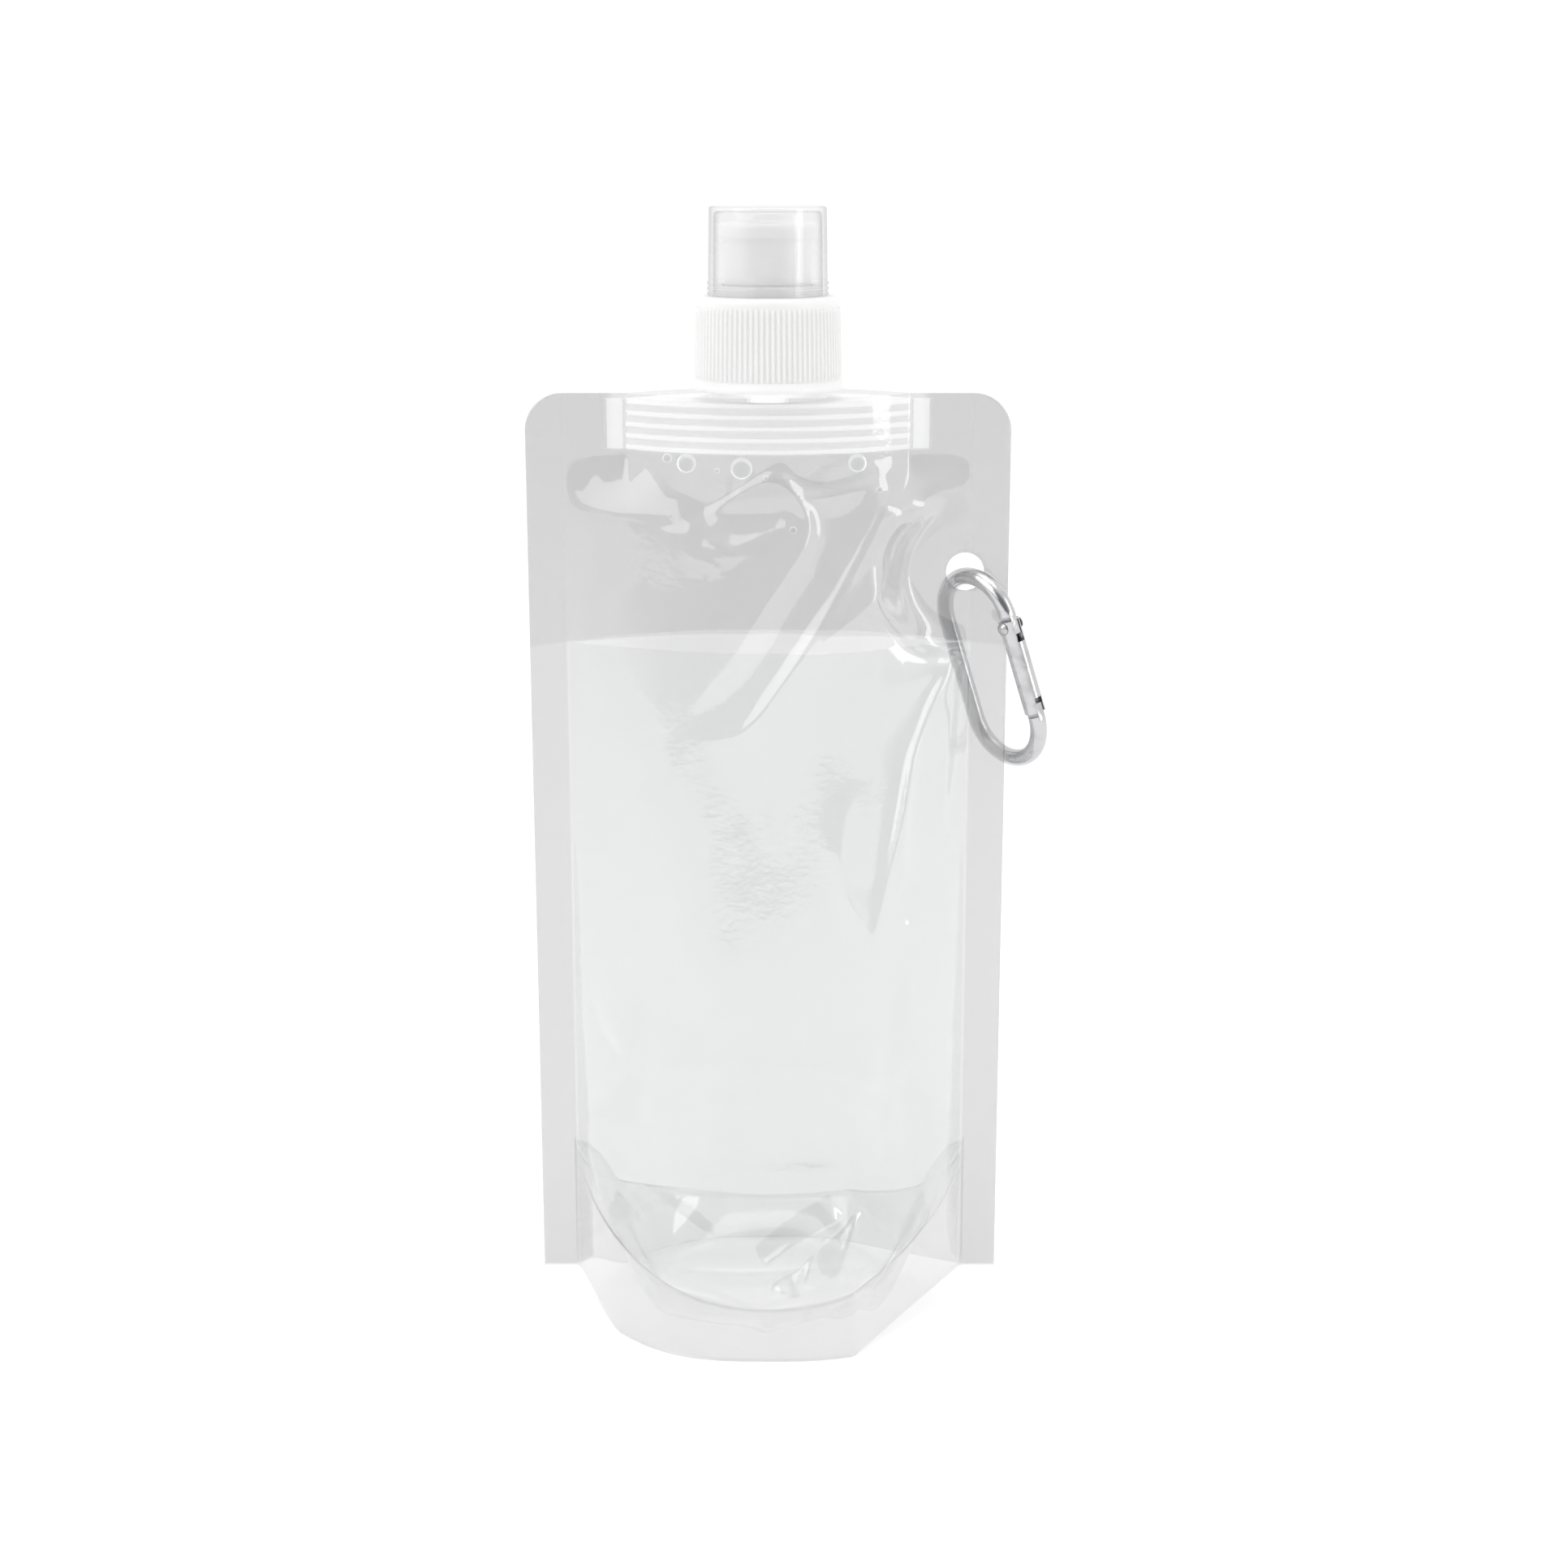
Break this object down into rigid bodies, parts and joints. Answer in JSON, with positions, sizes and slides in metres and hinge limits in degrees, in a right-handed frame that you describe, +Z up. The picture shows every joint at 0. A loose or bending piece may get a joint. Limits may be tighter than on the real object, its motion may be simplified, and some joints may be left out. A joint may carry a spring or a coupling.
{
  "type": "folding water bottle",
  "caption": "Clear stand-up pouch water bottle with a gusseted base, welded spout, screw collar, push-pull mouthpiece, clear dust cap and a carabiner.",
  "frame": {"origin": "on the floor under the middle of the standing pouch", "axes": "+Z up through the spout, -Y to the front face, +X towards the hang hole"},
  "size_m": [0.1223, 0.0732, 0.2689],
  "materials": {
    "clear_film": "clear, slightly frosted film",
    "white_plastic": "moulded, semi-gloss",
    "clear_plastic": "clear moulded",
    "gasket_foam": "matt",
    "polished_aluminium": "polished",
    "steel": "bright"
  },
  "bodies": {
    "pouch": {"front_film": "clear_film", "rear_film": "clear_film", "base_gusset_film": "clear_film", "spout": "white_plastic"},
    "gasket": {"neck_gasket": "gasket_foam"},
    "collar": {"screw_collar": "white_plastic"},
    "nozzle": {"push_pull_nozzle": "white_plastic"},
    "dust_cap": {"dust_cap": "clear_plastic"},
    "carabiner": {"carabiner_frame": "polished_aluminium", "gate_hinge_rivet": "steel"},
    "gate": {"carabiner_gate": "polished_aluminium", "gate_spring": "steel"},
    "plunger": {"gate_plunger": "steel"}
  },
  "joints": [
    {"name": "gasket_rise", "type": "slide", "parent": "pouch", "child": "gasket", "axis": [0, 0, 1], "range_m": [0, 0.00642]},
    {"name": "collar_turn", "type": "hinge", "parent": "gasket", "child": "collar", "pos_m": [0, 0, 0.2266], "axis": [0, 0, 1], "range_deg": [0, 720]},
    {"name": "nozzle_pull", "type": "slide", "parent": "collar", "child": "nozzle", "axis": [0, 0, 1], "range_m": [0, 0.005]},
    {"name": "cap_lift", "type": "slide", "parent": "nozzle", "child": "dust_cap", "axis": [0, 0, 1], "range_m": [0, 0.035]},
    {"name": "carabiner_swing", "type": "hinge", "parent": "pouch", "child": "carabiner", "pos_m": [0.0463, 0, 0.1838], "axis": [0, -1, 0], "range_deg": [0, 60]},
    {"name": "gate_open", "type": "hinge", "parent": "carabiner", "child": "gate", "pos_m": [0.05656, -0.00804, 0.17334], "axis": [0.7326, 0.6428, 0.224], "range_deg": [0, 16], "stiffness_Nm_per_rad": 0.05, "springref_deg": -17.19},
    {"name": "plunger_push", "type": "slide", "parent": "gate", "child": "plunger", "axis": [0.2924, 0, -0.9563], "range_m": [0, 0.0005], "deforming": ["gate_spring"]}
  ],
  "couplings": [
    {"joint": "gasket_rise", "follows": "collar_turn", "m_per_rad": 0.0005093},
    {"joint": "plunger_push", "follows": "gate_open", "m_per_rad": 0.0015}
  ]
}
